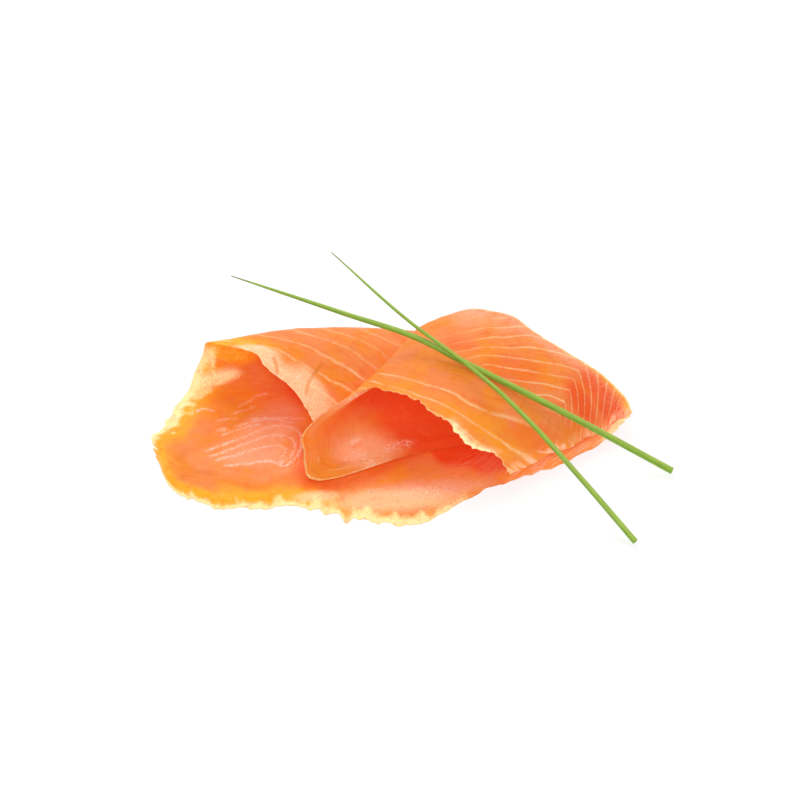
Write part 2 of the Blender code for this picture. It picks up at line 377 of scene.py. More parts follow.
def faceNotes(outerNotes, innerNotes):   # the notes of both faces, one after the other
    notes = {}
    for label in outerNotes:
        both = [np.stack(np.broadcast_arrays(*part[label]), -1).reshape(-1, 3)
                for part in (outerNotes, innerNotes)]
        notes[label] = np.concatenate(both)
    return notes


def toothed(along, spacing, size, seed, share=1.0):   # random teeth every so often along an edge
    count = int(along.max() / spacing) + 3
    depths = np.random.default_rng(seed).uniform(0, 1, count) ** 1.4 * size
    return np.interp(along, np.arange(count) * spacing, depths) * share


def spikes(place, points):   # triangles standing out at given places: (place, length, half width)
    return sum(size * np.clip(1 - np.abs(place - at) / half, 0, None) for at, size, half in points)


def tearBorder(points, border, depth, reach):   # pulls a border in by a depth that fades away from it
    axis = 0 if border < 2 else 1
    inward = np.gradient(points, axis=axis) * (1 if border % 2 == 0 else -1)
    inward = inward / np.maximum(np.linalg.norm(inward, axis=-1, keepdims=True), 1e-9)
    run = edgeRuns(points)[border]
    depth = depth[None, :] if axis == 0 else depth[:, None]
    return points + inward * (depth * np.exp(-run / reach) * (run < reach * 5))[..., None]


def ellipses(a, b, spots):   # greatest of soft ellipses: middle a, middle b, half sizes, turn in degrees
    out = np.zeros(np.broadcast(a, b).shape)
    for ca, cb, ra, rb, turn in spots:
        t = np.radians(turn)
        along = (a - ca) * np.cos(t) + (b - cb) * np.sin(t)
        across = (b - cb) * np.cos(t) - (a - ca) * np.sin(t)
        out = np.maximum(out, rise(np.hypot(along / ra, across / rb), 1.25, 0.45))
    return out


def nearLines(a, b, lines, width):   # 1 on straight pieces through given points, 0 at the width from them
    out = np.zeros(np.broadcast(a, b).shape)
    for line in lines:
        for (a0, b0), (a1, b1) in zip(line[:-1], line[1:]):
            da, db = a1 - a0, b1 - b0
            t = np.clip(((a - a0) * da + (b - b0) * db) / (da * da + db * db), 0, 1)
            out = np.maximum(out, 1 - np.hypot(a - a0 - t * da, b - b0 - t * db) / width)
    return out


def smoothLines(lines, count=14):   # each list of places as a smooth curve of many points
    curves = []
    for line in lines:
        places = np.array(line, float)
        order = np.arange(len(line))
        at = np.linspace(0, len(line) - 1, count)
        knots = [np.column_stack([order, places[:, k]]) for k in (0, 1)]
        curves.append(np.column_stack([curveThrough(k, at) for k in knots]))
    return curves


def quadratic(c, a, b):   # c0 + c1 a + c2 b + c3 aa + c4 ab + c5 bb
    return c[0] + c[1] * a + c[2] * b + c[3] * a * a + c[4] * a * b + c[5] * b * b


# Lower slice

lowerMarks = {
    "climb": 1.43,   # how far back a mm of height counts as seen
    "leaf": (-43.0, -1.0),   # middle of the ringed pink leaf at the left
    "leafLeft": 20.0, "leafRight": 8.5, "leafAcross": 12.5, "leafLean": 0.2, "leafLines": 4.3,
    "leafPowers": (1.3, 2.0),   # pointed at the left, round at the right
    "flapSlope": 0.78, "flapSpacing": 8.3, "flapStart": -3.7, "flapCrest": 31.0,   # lines on the flap
    "fibreLean": 0.57, "fibreTurn": 0.4, "fibreCloseness": 0.42,   # fibres on the base, steeper at the right
    "leftGold": 18.0, "frontGold": 11.0, "rightGold": 9.0,   # widths from the border in mm
    "leftRim": 6.5, "frontRim": 3.8, "rightRim": 9.0,   # widths of the pale rims
    "band": 3.0, "bandGrowth": 0.28,   # pale band on the flap, wider in front
    "shadeWidth": 6.0, "strokeWidth": 1.8, "crackWidth": 2.0,
    "leafThreads": (0.1, 0.35), "baseThreads": 0.4,   # shares of loose fibres that show
    "shadeShare": 0.7, "paleShare": 0.85, "strawShare": 0.6, "goldRim": 0.2,
    "foldEdge": [   # left end of the painted shade, deep red, in the fold, over the way back
        (20, -29), (28, -34), (36, -38), (45, -42)],
    "tunnelEdge": [   # front end of the painted shade, deep red, under the upper slice
        (0, 4), (2.2, 1.3), (7.6, -6.8), (17.6, -13), (22, -15), (28, -11.4), (36, -7)],
    # spots and patches: middle, half sizes and turn in degrees
    "pinkSpots": [(-44, 10, 18, 9, 62), (-47, -3, 12, 6.5, 10), (4, -20, 20, 4.5, 6)],
    "wetSpots": [(-58, 9.6, 1.8, 1.4, 20), (5, -21.5, 9, 3.0, 8), (-12, -21.2, 1.4, 1.2, 0)],
    "palePatches": [(-61.5, 38, 9, 4.5, 28), (-6, -25.5, 21, 6.0, 3), (-28, -24, 8, 3, 5)],
    "strawPatches": [(-61, 37, 9, 4, 28), (-66, 31, 4, 8, -30)],
    "goldPatches": [(-57, 52, 10, 8, -30), (-67, 45, 5, 6, 0)],
    "shadeLines": [   # painted shade, deep red, round the tongue
        [(-33.5, 5), (-32.6, -6), (-31.5, -15), (-28, -18.2), (-20, -16.8), (-8.7, -9.5), (2.2, 0.5)]],
    "strokes": [   # white strokes in the leaf
        [(-59.6, 14.7), (-57.3, 15.8), (-54.2, 15.8)],
        [(-59.3, 9.5), (-56.9, 10.5)],
        [(-66.5, 19.5), (-64.1, 20.6), (-61.2, 19.5)],
        [(-49.2, 15.2), (-41.3, 15.8), (-33.3, 15.8)],
        [(-61.9, -0.8), (-56.5, 2.4), (-51.5, 5.8), (-46.5, 9.9), (-41.4, 12.0), (-36.9, 11.0),
         (-34.0, 7.2), (-33.4, 1.3), (-35.0, -4.5), (-37.9, -8.5)],
        [(-60.4, -3.7), (-54.6, -0.1), (-47.9, 4.3), (-42.9, 6.9), (-37.6, 6.0), (-35.6, 2.1),
         (-36.4, -3.7), (-39.6, -7.1)],
        [(-58.5, -5.9), (-52.7, -3.0), (-46.0, 0.2), (-40.9, 1.6), (-38.2, -0.4), (-39.1, -4.2)],
        [(-55.8, -8.8), (-49.0, -7.6), (-43.1, -6.2), (-38.7, -8.5)],
        [(-54.4, 11.3), (-48.5, 14.0), (-43.3, 15.0), (-37.1, 13.7)],
        [(-57.6, 6.9), (-52.6, 10.2), (-46.6, 12.8)],
        [(-53.3, 22.0), (-50.4, 24.7), (-48.5, 27.6), (-45.7, 28.5)],
        [(-54.9, 18.5), (-51.3, 20.0), (-48.9, 22.0)]],
    "cracks": [
        [(-27.5, 18.5), (-29.1, 16.5), (-31.2, 13.9), (-32.1, 11.2)],
        [(-42.2, 20.5), (-41.3, 18), (-40.9, 16)]],
    "ripple": 0.07, "swell": 0.2, "groove": 0.1, "outerSwell": 0.15,   # relief in mm
    "relief": [(7, 41, 1.0), (2.2, 42, 0.5)],   # random heights: spacing, seed, size
    "wobble": [(9, 31, 0.2), (3.5, 32, 0.12)], "uneven": [(8, 33, 1.0)], "broken": [(2.6, 38, 0.6)],
    "driftX": [(8, 34, 2.2), (2.8, 35, 0.7)], "driftY": [(8, 36, 1.6), (2.8, 37, 0.5)],
    "leftTeeth": (1.0, 1.5, 71), "frontTeeth": (3.3, 1.6, 72), "fineTeeth": (1.1, 0.6, 81),
    "flapTeeth": (0.9, 0.9, 73), "rightTeeth": (1.2, 0.5, 74),   # spacing, depth, seed
    "leftPoints": [   # place, length, half width
        (3.8, 1.5, 1.0), (0.9, 2.2, 0.9), (-2.6, 1.4, 0.8), (-9.5, 0.9, 0.9), (-14.8, 2.4, 1.2),
        (-18.5, 1.0, 0.9)],
    "frontPoints": [
        (-66, 1.6, 1.2), (-58, 1.3, 1.4), (-47, 1.2, 1.5), (-30, 1.2, 1.2), (-25.5, 1.8, 1.6),
        (-19.4, 3.6, 2.0), (-15.5, 1.4, 1.2), (-10, 1.2, 1.4), (-4.4, 2.0, 2.2)],
}


def tearLower(u, outer):   # teeth pull each border in, and a few points stand out from it
    left, front = outer[:, 0], outer[0]
    runs = edgeRuns(outer)
    spacing, depth, seed = lowerMarks["leftTeeth"]
    atTip = 0.35 + 0.65 * rise(u[:, 0], 0.34, 0.2)
    onBase = toothed(runs[0][:, 0], spacing, depth, seed, atTip) * rise(u[:, 0], 0.52, 0.44)
    onBase = onBase - spikes(left[:, 1], lowerMarks["leftPoints"]) * (u[:, 0] < 0.44)
    spacing, depth, seed = lowerMarks["flapTeeth"]
    onFlap = toothed(runs[0][:, 0], spacing, depth, seed, 0.4 + rise(u[:, 0], 0.85, 0.97))
    outer = tearBorder(outer, 2, onBase + onFlap * rise(u[:, 0], 0.64, 0.7), 1.6)
    spacing, depth, seed = lowerMarks["frontTeeth"]
    teeth = toothed(runs[2][0], spacing, depth, seed)
    spacing, depth, seed = lowerMarks["fineTeeth"]
    teeth = teeth + toothed(runs[2][0], spacing, depth, seed)
    outer = tearBorder(outer, 0, teeth - spikes(front[:, 0], lowerMarks["frontPoints"]), 2.2)
    spacing, depth, seed = lowerMarks["rightTeeth"]
    return tearBorder(outer, 3, toothed(runs[0][:, -1], spacing, depth, seed), 1.5)


def lowerFibres(x, y, fromFront, fromLeft, wobble):
    # Rings by the distance from the leaf's middle, which is 1 on its outline. Outside it lines along
    # the borders turn into slanted ones. The second value is 1 in the leaf.
    m = lowerMarks
    wx = x + layered(x, y, m["driftX"])
    wy = y + layered(x, y, m["driftY"])
    onLeft = wx < m["leaf"][0]
    across = np.abs(wy - m["leaf"][1] - m["leafLean"] * (wx - m["leaf"][0])) / m["leafAcross"]
    along = np.abs(wx - m["leaf"][0]) / np.where(onLeft, m["leafLeft"], m["leafRight"])
    power = np.where(onLeft, *m["leafPowers"])
    away = (along ** power + across ** power) ** (1 / power)
    outside = np.where(fromLeft < fromFront * 1.6, wy / 2.4, fromFront / 2.6 + wobble * 2.5)
    lean = m["fibreLean"] + m["fibreTurn"] * rise(x, 16, 30)
    slanted = (y - lean * x) * m["fibreCloseness"] + 8 + wobble
    outside = outside + (slanted - outside) * rise(x, -28, -12)
    rings = away * m["leafLines"] + wobble
    return outside + (rings - outside) * rise(away, 1.5, 1.2), rise(away, 1.4, 1.0)


def lowerGold(u, x, seen, runs, loose, broken):   # gold along the torn borders and in the back left corner
    m = lowerMarks
    fromFront, _, fromLeft, fromRight = runs
    gold = rise(fromLeft * loose, m["leftGold"], 3) * rise(u, 0.62, 0.52)
    gold = np.maximum(gold, rise(fromFront * loose, m["frontGold"], 3) * rise(x, -8, -26))
    gold = np.maximum(gold, rise(fromFront * broken, 4, 1) * rise(x, -30, -16) * rise(x, 12, -2))
    gold = np.maximum(gold, rise(fromFront * loose, 5, 1) * rise(x, 30, 5) * 0.5)
    gold = np.maximum(gold, ellipses(x, seen, m["goldPatches"]))
    return np.maximum(gold, rise(fromRight, m["rightGold"], 1) * 0.6)


def lowerPaintedShade(x, y, seen, uneven):   # painted shade: deep red in the fold, under the upper slice and round its tongue
    m = lowerMarks
    foldShade = rise(x - curveThrough(m["foldEdge"], seen) + 2.5 * uneven, -8, 0) * rise(seen, 13, 21)
    tunnelShade = rise(y - curveThrough(m["tunnelEdge"], x) + 1.5 * uneven, -1.5, 4) * rise(x, -2, 7)
    tunnelShade = tunnelShade * rise(x, 42, 30)
    shade = rise(nearLines(x, y, smoothLines(m["shadeLines"], 24), m["shadeWidth"]), 0, 1) * m["shadeShare"]
    return np.maximum(np.maximum(foldShade * rise(x, 45, 25), tunnelShade), shade)


def lowerRim(u, x, seen, runs, loose, broken):   # pale rim along the torn borders and in straw patches; on the thin left and front borders it is partly painted light shining through the edge
    m = lowerMarks
    fromFront, _, fromLeft, _ = runs
    white = rise(fromLeft * loose * broken, m["leftRim"], 0) * rise(u, 0.64, 0.56)
    white = white * (0.35 + 0.55 * rise(u, 0.05, 0.2))
    white = np.maximum(white, rise(fromFront * loose * broken, m["frontRim"], 0) * 0.85 * rise(x, 24, 6))
    white = np.maximum(white, ellipses(x, seen, m["strawPatches"]) * m["strawShare"])
    return np.maximum(white, ellipses(x, seen, m["goldPatches"]) * m["goldRim"])


def flapNotes(u, x, y, runs, wobble, uneven, loose):
    # Slanted fat lines in even steps down from the crest, and a pale band along the torn left border.
    m = lowerMarks
    fromFront, _, fromLeft, _ = runs
    onFlap = u > 0.62
    crestRow = np.argmax(u[:, 0] >= lower["bendEnd"])
    fromCrest = fromFront - fromFront[crestRow][None, :]
    lines = (m["flapCrest"] - fromCrest + m["flapSlope"] * x - m["flapStart"]) / m["flapSpacing"]
    bandWidth = m["band"] + m["bandGrowth"] * np.clip(fromCrest, 0, 30)
    band = rise(fromLeft * loose / bandWidth, 1.35, 0.6) * onFlap * rise(fromCrest, 2, 8)
    corner = rise(fromLeft, 16, 4) * rise(np.abs(u - 0.62), 0.2, 0.06) * rise(x, -30, -45)
    lip = rise(fromLeft, 0.9, 0) * 0.6 * rise(fromCrest, 4, 9) * onFlap
    crack = np.clip(nearLines(x, y, smoothLines(m["cracks"]), m["crackWidth"]), 0, 1) * onFlap
    return {"grain": (lines + wobble * 0.6, x, 0 * x),
            "tone": (corner, 0 * x, band * 0.6),
            "wet": (band * 0.5, 0.6 + 0.4 * uneven, lip),
            "patch": (band * 0.85, crack, 0 * x)}


def lowerNotes(u, outer, inner, runs):
    # What the finish reads at each point, from ways to the borders, spots, lines and random heights.
    # grain: number of the fibre line, way along it, closeness of a white stroke
    # tone: gold, deep red painted shade, pink; wet: wetness, fat in the lines, pale rim
    # patch: pale patch, closeness of a crack, loose threads
    m = lowerMarks
    x, y = outer[..., 0], outer[..., 1]
    seen = inner[..., 1] + m["climb"] * (inner[..., 2] - lower["thickness"])
    fromFront, _, fromLeft, fromRight = runs
    wobble, uneven = layered(x, y, m["wobble"]), layered(x, y, m["uneven"])
    loose, broken = 1 + 0.35 * uneven, 1 + layered(x, y, m["broken"])
    grain, inLeaf = lowerFibres(x, y, fromFront, fromLeft, wobble)
    pink = ellipses(x, seen, m["pinkSpots"])
    strokes = nearLines(x + 0.4 * wobble, seen + 2.0 * wobble, smoothLines(m["strokes"]), m["strokeWidth"])
    strokes = np.clip(strokes, 0, 1) * (u < lower["bendEnd"])
    wet = np.maximum(ellipses(x, seen, m["wetSpots"]), rise(strokes, 0.4, 0.9) * 0.5)
    strip = rise(x, 24, 32) * rise(fromFront, 12, 2)
    gold = np.maximum(lowerGold(u, x, seen, runs, loose, broken), strip * 0.55)
    fewest, more = m["leafThreads"]
    threads = np.maximum(strip, inLeaf * (fewest + more * rise(x, -50, -38)))
    threads = np.maximum(threads, rise(x, -24, -12) * rise(fromFront, 24, 12) * m["baseThreads"])
    rightEnd = rise(x, 50, 58) * rise(fromRight * loose, m["rightRim"], 1)
    white = np.maximum(lowerRim(u, x, seen, runs, loose, broken), rightEnd * 0.9)
    innerPart = {"grain": (grain, x * 0.9, strokes),
                 "tone": (gold * (1 - 0.8 * pink), np.clip(lowerPaintedShade(x, y, seen, uneven), 0, 1), pink),
                 "wet": (wet, strip * 0.8, np.clip(white, 0, 1)),
                 "patch": (ellipses(x, seen, m["palePatches"]) * m["paleShare"], 0 * x, threads)}
    outerPart = flapNotes(u, x, y, runs, wobble, uneven, loose)
    flapWet, fat, lip = outerPart["wet"]
    lip = np.maximum(np.maximum(lip, white * (u < 0.5)), rightEnd * 0.8)
    outerPart["wet"] = flapWet, fat, lip
    return outerPart, innerPart


def makeLowerSlice():   # torn outer face, its inner face, both raised and sunk a little along their lines
    u, v = shares(lower, (lower["baseEnd"], lower["bendEnd"]))
    outer = tearLower(u, lowerSurface(u, v))
    runs = edgeRuns(outer)
    inner = innerFace(lower, outer, runs)
    outerPart, innerPart = lowerNotes(u, outer, inner, runs)
    swell = rise(np.minimum.reduce(runs), 0.5, 4)
    ripple = np.cos(2 * np.pi * innerPart["grain"][0]) * innerPart["patch"][2] * swell
    x, y = outer[..., 0], outer[..., 1]
    coarse = layered(x, y, lowerMarks["relief"]) * swell
    raised = ripple * lowerMarks["ripple"] + coarse * lowerMarks["swell"]
    inner = inner - outwards(outer) * raised[..., None]
    lifted = (u > lower["baseEnd"])[..., None]
    groove = np.exp(-(((outerPart["grain"][0] + 0.5) % 1 - 0.5) / 0.06) ** 2)
    sunk = groove * swell * lowerMarks["groove"] - coarse * lowerMarks["outerSwell"]
    outer = outer - lifted * outwards(outer) * sunk[..., None]
    return makeSlice("lower_fish", outer, inner, faceNotes(outerPart, innerPart))


# Upper slice

upperMarks = {
    "frontLines": (-9.204, 0.520, -0.112, -0.0057, 0.00224, -0.00117),   # line numbers over p and n
    "backLines": (-4.184, 0.224, -0.334, -0.00107, 0.00201, -0.00027),
    "fanLines": (-36.244, 0.860, -0.639, -0.00346, -0.00079, 0.01292),
    "lean": 0.53, "frontEnds": 35.5, "backStarts": 38.5,   # of p less this share of n
    "pinkSpots": [(64, 2, 8, 6, 60), (78, 24, 10, 4, 60), (70, 10, 7, 5, 30)],
    "emberSpots": [(58, 24, 11, 6, 25), (52, 8, 6, 4, 60), (50, 40, 9, 4, 30)],
    "tipEmber": [(81, 44, 9, 6, -40), (72, 40, 5, 8, 20)],
    "tonguePink": [(16, 3.5, 11, 8, 30)],
    "tongueWet": [(16.4, -2, 2.6, 1.4, 0), (13.0, 8.4, 1.8, 2.6, 0), (24.5, 9.0, 6, 2.6, 20),
                  (12, 3.5, 4, 3.5, 0)],
    "tip": (87.0, 49.5), "frontGold": 0.45, "ringSpacing": 4.6,
    "frontTeeth": (0.9, 1.2, 81), "wideTeeth": (2.8, 1.0, 82), "rightTeeth": (1.0, 0.6, 83),
    "tongueTeeth": (1.7, 0.9, 84), "backTeeth": (2.5, 0.4, 89),   # spacing, depth, seed
    "lip": (0.83, 0.945, 2.8),   # from u, to u, width
    "innerSwell": 0.12, "groove": 0.1, "outerSwell": 0.15,   # relief in mm
    "relief": [(7, 61, 1.0), (2.2, 62, 0.5)],   # spacing, seed, size
    "wobble": [(9, 51, 0.16), (3.5, 52, 0.05)], "uneven": [(8, 53, 1.0)],
}


def tearUpper(u, outer):   # teeth pull each border in, most along the front of the arch
    runs = edgeRuns(outer)
    ragged = rise(u[:, 0], 0.5, 0.58)
    spacing, depth, seed = upperMarks["frontTeeth"]
    teeth = toothed(runs[0][:, 0], spacing, depth, seed, 0.2 + 0.8 * ragged)
    spacing, depth, seed = upperMarks["wideTeeth"]
    teeth = teeth + toothed(runs[0][:, 0], spacing, depth, seed, ragged)
    outer = tearBorder(outer, 2, teeth, 1.8)
    spacing, depth, seed = upperMarks["rightTeeth"]
    outer = tearBorder(outer, 1, toothed(runs[2][-1], spacing, depth, seed), 1.4)
    spacing, depth, seed = upperMarks["tongueTeeth"]
    outer = tearBorder(outer, 0, toothed(runs[2][0], spacing, depth, seed), 1.4)
    spacing, depth, seed = upperMarks["backTeeth"]
    return tearBorder(outer, 3, toothed(runs[0][:, -1], spacing, depth, seed), 1.4)


def topLines(p, n, wobble):
    # Numbers of the fat lines: a curved set in front, another behind it, and a fan towards the tip.
    # Also: how far back across the lean, whether behind the first set, and 1 in the fan.
    m = upperMarks
    alongFront = quadratic(m["frontLines"], p, n) + wobble
    atBack = quadratic(m["backLines"], p, n) + wobble * 1.4
    fan = quadratic(m["fanLines"], p, np.maximum(n, 24)) + wobble
    q = p - m["lean"] * n
    behind = q > (m["frontEnds"] + m["backStarts"]) / 2
    inFan = rise(fan - atBack, -1.2, 1.5) * rise(q, 34, 43) * rise(n, 22, 34)
    return np.where(behind, np.maximum(atBack, fan), alongFront), q, behind, inFan


def tongueNotes(u, p, n, runs, wobble, uneven):
    # Rings in even steps from the border, a pink wet middle, and painted shade, deep red, towards the inside
    # of the bend.
    m = upperMarks
    fromFront = runs[2]
    pink = ellipses(p, n, m["tonguePink"])
    bendShade = rise(p, 17, 30) + rise(u, 0.37, 0.48) * rise(fromFront, 4, 18) * 0.85
    gold = rise(fromFront, 7, 2) * rise(u, 0.5, 0.42) * 0.15
    fat = 0.5 * rise(fromFront, 7, 5) * rise(p, 15, 9) * (n > -4)
    lip = rise(np.minimum.reduce(runs) * (1 + 0.5 * uneven), 1.3, 0) * 0.55 * rise(p, 26, 14)
    return {"grain": (fromFront / m["ringSpacing"] + wobble * 0.5, p, 0 * p),
            "tone": (gold, np.clip(bendShade, 0, 1), pink),
            "wet": (ellipses(p, n, m["tongueWet"]), fat, lip),
            "patch": (pink * 0.35, 0 * p, 0 * p)}


def upperNotes(u, p, n, runs):   # the same notes as for the lower slice, over p along and n across
    m = upperMarks
    _, fromRight, fromFront, fromBack = runs
    wobble, uneven = layered(p, n, m["wobble"]), layered(p, n, m["uneven"])
    lines, q, behind, inFan = topLines(p, n, wobble)
    onTop = rise(u, 0.46, 0.52)
    gold = rise(q + 2 * uneven, 31, 18) * onTop * m["frontGold"]
    gold = np.maximum(gold, rise(fromRight, 2.5, 0.5) * 0.25)
    gold = np.maximum(gold, rise(fromBack, 2.5, 0.3) * rise(n, 8, 26) * 0.9)
    gold = np.maximum(gold, rise(np.hypot(p - m["tip"][0], n - m["tip"][1]), 7, 3) * 0.8)
    pink = ellipses(p, n, m["pinkSpots"]) * 0.6 + rise(fromBack, 6, 1) * 0.5 * (n < 36)
    ember = np.maximum(ellipses(p, n, m["emberSpots"]) * 0.4, inFan * (0.4 + 0.5 * rise(p, 74, 80)))
    ember = np.maximum(ember, ellipses(p, n, m["tipEmber"]) * 0.85) * rise(fromBack, 1, 5)
    fat = np.where(behind, rise(q, m["backStarts"], m["backStarts"] + 5), rise(q, m["frontEnds"] - 1, 28))
    fat = fat * np.clip(0.75 + 0.35 * uneven, 0, 1) * (1 - 0.7 * rise(n, 14, 4) * behind)
    fat = fat * np.where(behind, rise(fromRight, 0.5, 5) * rise(p + n, 135, 127), 1)
    start, end, width = m["lip"]
    wide = rise(u, start - 0.03, start + 0.02) * rise(u, end + 0.02, end - 0.02)
    lip = rise(fromFront, 0.5 + width * wide * (1 + 0.4 * uneven), 0.0) * (0.55 + 0.35 * wide)
    lip = lip * rise(u, 0.54, 0.6)
    lip = np.maximum(lip, rise(fromBack, 1.3, 0) * 0.7 * onTop)
    wet = rise(fromBack, 12, 3) * 0.25 + wide * rise(fromFront, 4, 1) * 0.3
    outerPart = {"grain": (lines, p, 0 * p),
                 "tone": (gold, ember, np.clip(pink, 0, 1)),
                 "wet": (wet, fat, lip),
                 "patch": (wide * rise(fromFront, width * 1.5, 0), 0 * p, rise(fromRight, 4, 1))}
    return outerPart, tongueNotes(u, p, n, runs, wobble, uneven)


def makeUpperSlice():   # as the lower one; p and n are turned back from the torn places
    u, v = shares(upper, (upper["tongueEnd"], upper["topStart"]))
    outer = tearUpper(u, upperSurface(u, v))
    x, y = outer[..., 0] - upper["corner"][0], outer[..., 1] - upper["corner"][1]
    turn = np.radians(upper["turn"])
    p, n = np.cos(turn) * x + np.sin(turn) * y, np.sin(turn) * x - np.cos(turn) * y
    runs = edgeRuns(outer)
    inner = innerFace(upper, outer, runs)
    outerPart, innerPart = upperNotes(u, p, n, runs)
    swell = rise(np.minimum.reduce(runs), 0.5, 4)
    coarse = layered(p, n, upperMarks["relief"]) * swell
    inner = inner - outwards(outer) * (coarse * upperMarks["innerSwell"])[..., None]
    lifted = (u > upper["topStart"] - 0.1)[..., None]
    groove = np.exp(-(((outerPart["grain"][0] + 0.5) % 1 - 0.5) / 0.07) ** 2) * outerPart["wet"][1]
    sunk = groove * swell * upperMarks["groove"] - coarse * upperMarks["outerSwell"]
    outer = outer - lifted * outwards(outer) * sunk[..., None]
    return makeSlice("upper_fish", outer, inner, faceNotes(outerPart, innerPart))


# Fish finish

fish = {
    "orange": (241, 139, 46), "salmon": (240, 137, 74), "pink": (246, 164, 126), "gold": (247, 173, 26),
    "straw": (253, 224, 166), "ember": (224, 72, 30), "fat": (249, 206, 152), "russet": (230, 98, 32),
    "peach": (247, 196, 146), "thread": (249, 184, 142), "stroke": (253, 206, 182), "crack": (214, 124, 36),
    # the last two are a painted sheen and a painted glint colour for the wet places
    "paintedSheen": (255, 190, 156), "paintedGlint": (255, 236, 218),
    # noise places per mm
    "broadScale": 0.11, "fineScale": 1.1, "mottleScale": 0.35, "speckScale": 1.2, "pitScale": 1.9,
    "fibreCloseness": 6.0, "fibreStretch": 0.16, "lineWidth": 0.12,
    "goldShare": 0.9, "emberShare": 0.97, "streakShare": 0.5, "threadShare": 0.9, "strokeShare": 0.6,
    "crackShare": 0.8, "rimShare": 0.85, "pitShare": 0.8, "paintedSheenShare": 0.55, "mottleShare": 0.3,
    "glow": 0.19, "deepGlow": 0.1, "rimGlow": 0.1, "goldGlow": 0.14, "paleGlow": 0.15, "threadGlow": 0.06,
    "roughness": 0.42, "wetSmoothness": 0.2, "coat": 0.04, "wetCoat": 0.7,
    "fibreDepth": 0.0005, "fineDepth": 0.0004, "speckDepth": 0.0003,   # in m
    "fixed": {"Subsurface Weight": 0.2, "Subsurface Radius": (1.0, 0.4, 0.15), "Subsurface Scale": 0.002,
              "Specular IOR Level": 0.16, "IOR": 1.38, "Coat Roughness": 0.08, "Coat IOR": 1.4,
              "Emission Strength": 1.0},
}


def fishFinish():   # flesh colours, painted shade, painted sheen and painted glints laid over one another by the notes, each broken up by noise
    paint = Paint("moist_fish", fish["fixed"])
    where = paint.place()
    phase, along, stroke = paint.note("grain")
    gold, shadeAndDeepRed, pink = paint.note("tone")
    wet, fatShare, lip = paint.note("wet")
    pale, crack, threads = paint.note("patch")
    broad = paint.noise(where, fish["broadScale"], 3.0, 0.6)
    fine = paint.noise(where, fish["fineScale"], 4.0, 0.65)
    fibrePlace = paint.join(phase * fish["fibreCloseness"], along * fish["fibreStretch"])
    fibre = paint.noise(fibrePlace, 1.0, 4.0, 0.65, 0.4)
    colour = paint.blend(broad.between(0.38, 0.62), linear(*fish["orange"]), linear(*fish["salmon"]))
    golden = (gold * 0.85 + (fibre - 0.5) * 1.5 * gold.between(0, 0.4)).between(0.05, 1.0)
    colour = paint.blend(golden * fish["goldShare"], colour, linear(*fish["gold"]))
    colour = paint.blend((pink * (0.15 + 0.7 * fine + 0.5 * fibre)).held(), colour, linear(*fish["pink"]))
    mottle = paint.noise(where, fish["mottleScale"], 3.0, 0.6)
    # The deep red tone is painted shade on the lower slice and at the tongue's bend, and the flesh's own
    # deep red on the upper slice's top.
    shadeAndDeepRed = (shadeAndDeepRed * (0.7 + 0.6 * mottle)).held()
    colour = paint.blend(shadeAndDeepRed * fish["emberShare"], colour, linear(*fish["ember"]))
    streaks = fibre.between(0.48, 0.7)
    colour = paint.blend(streaks * fish["streakShare"] * (1 - shadeAndDeepRed * 0.7), colour, linear(*fish["russet"]))
    colour = paint.blend((pale * (0.4 + fine)).held(), colour, linear(*fish["peach"]))
    lines = (phase + (fine - 0.5) * 0.2).line(fish["lineWidth"]) * fatShare
    lines = lines * (1 - shadeAndDeepRed * 0.5) * broad.between(0.3, 0.45)
    colour = paint.blend((lines * (0.4 + 0.7 * fine)).held(), colour, linear(*fish["fat"]))
    loose = (fibre.between(0.46, 0.58) * threads * fish["threadShare"]).held()
    colour = paint.blend(loose, colour, linear(*fish["thread"]))
    white = (stroke + (fine - 0.5) * 1.2 + (broad - 0.5) * 0.9).between(0.6, 1.1)
    colour = paint.blend(white * fish["strokeShare"], colour, linear(*fish["stroke"]))
    split = (crack + (fine - 0.5) * 0.4).between(0.62, 0.9)
    colour = paint.blend(split * fish["crackShare"], colour, linear(*fish["crack"]))
    # The straw rim is the torn edges' pale colour, and on the lower slice's thin left and front borders
    # partly painted light shining through them.
    cut = (lip + (fine - 0.5) * lip.between(0, 0.2)).between(0.1, 0.9)
    colour = paint.blend(cut * fish["rimShare"], colour, linear(*fish["straw"]))
    speck = 1 - paint.cells(where, fish["speckScale"]).between(0.1, 0.38)
    pits = 1 - paint.cells(where, fish["pitScale"]).between(0.06, 0.26)
    pitted = (pits * (wet * fish["pitShare"] + pale * broad.between(0.4, 0.6) * 0.6)).held()
    colour = paint.blend(pitted, colour, linear(*fish["russet"]))
    # Painted sheen and painted glints: a pale pink over the wet places and near-white specks in them,
    # standing in for their soft reflection and sparkling highlights.
    paintedGlints = speck * wet * fine.between(0.42, 0.52)
    paintedSheen = (wet * fine.between(0.35, 0.65) * fish["paintedSheenShare"]).held()
    colour = paint.blend(paintedSheen, colour, linear(*fish["paintedSheen"]))
    colour = paint.blend(paintedGlints.held(), colour, linear(*fish["paintedGlint"]))
    mottled = mottle.between(0.5, 0.72) * fish["mottleShare"] * (1 - wet)
    colour = paint.blend(mottled, colour, linear(*fish["russet"]))
    paint.set("Base Color", colour)
    # A little of each colour is given off, as light that passes through the thin slice.
    light = fish["glow"] + shadeAndDeepRed * fish["deepGlow"] + cut * fish["rimGlow"] + golden * fish["goldGlow"]
    light = light + pale * fish["paleGlow"] + threads * fish["threadGlow"]
    paint.set("Emission Color", paint.blend(light, (0, 0, 0, 1), colour))
    paint.set("Roughness", (fish["roughness"] - wet * fish["wetSmoothness"] + (fine - 0.5) * 0.3).held())
    paint.set("Coat Weight", (fish["coat"] + wet * fish["wetCoat"]).held())
    fibreBump = paint.bump(fibre, 0.6, fish["fibreDepth"])
    fineBump = paint.bump(fine, 0.5, fish["fineDepth"], fibreBump)
    paint.set("Normal", paint.bump(speck * wet, 0.4, fish["speckDepth"], fineBump))
    return paint.material


# Chives

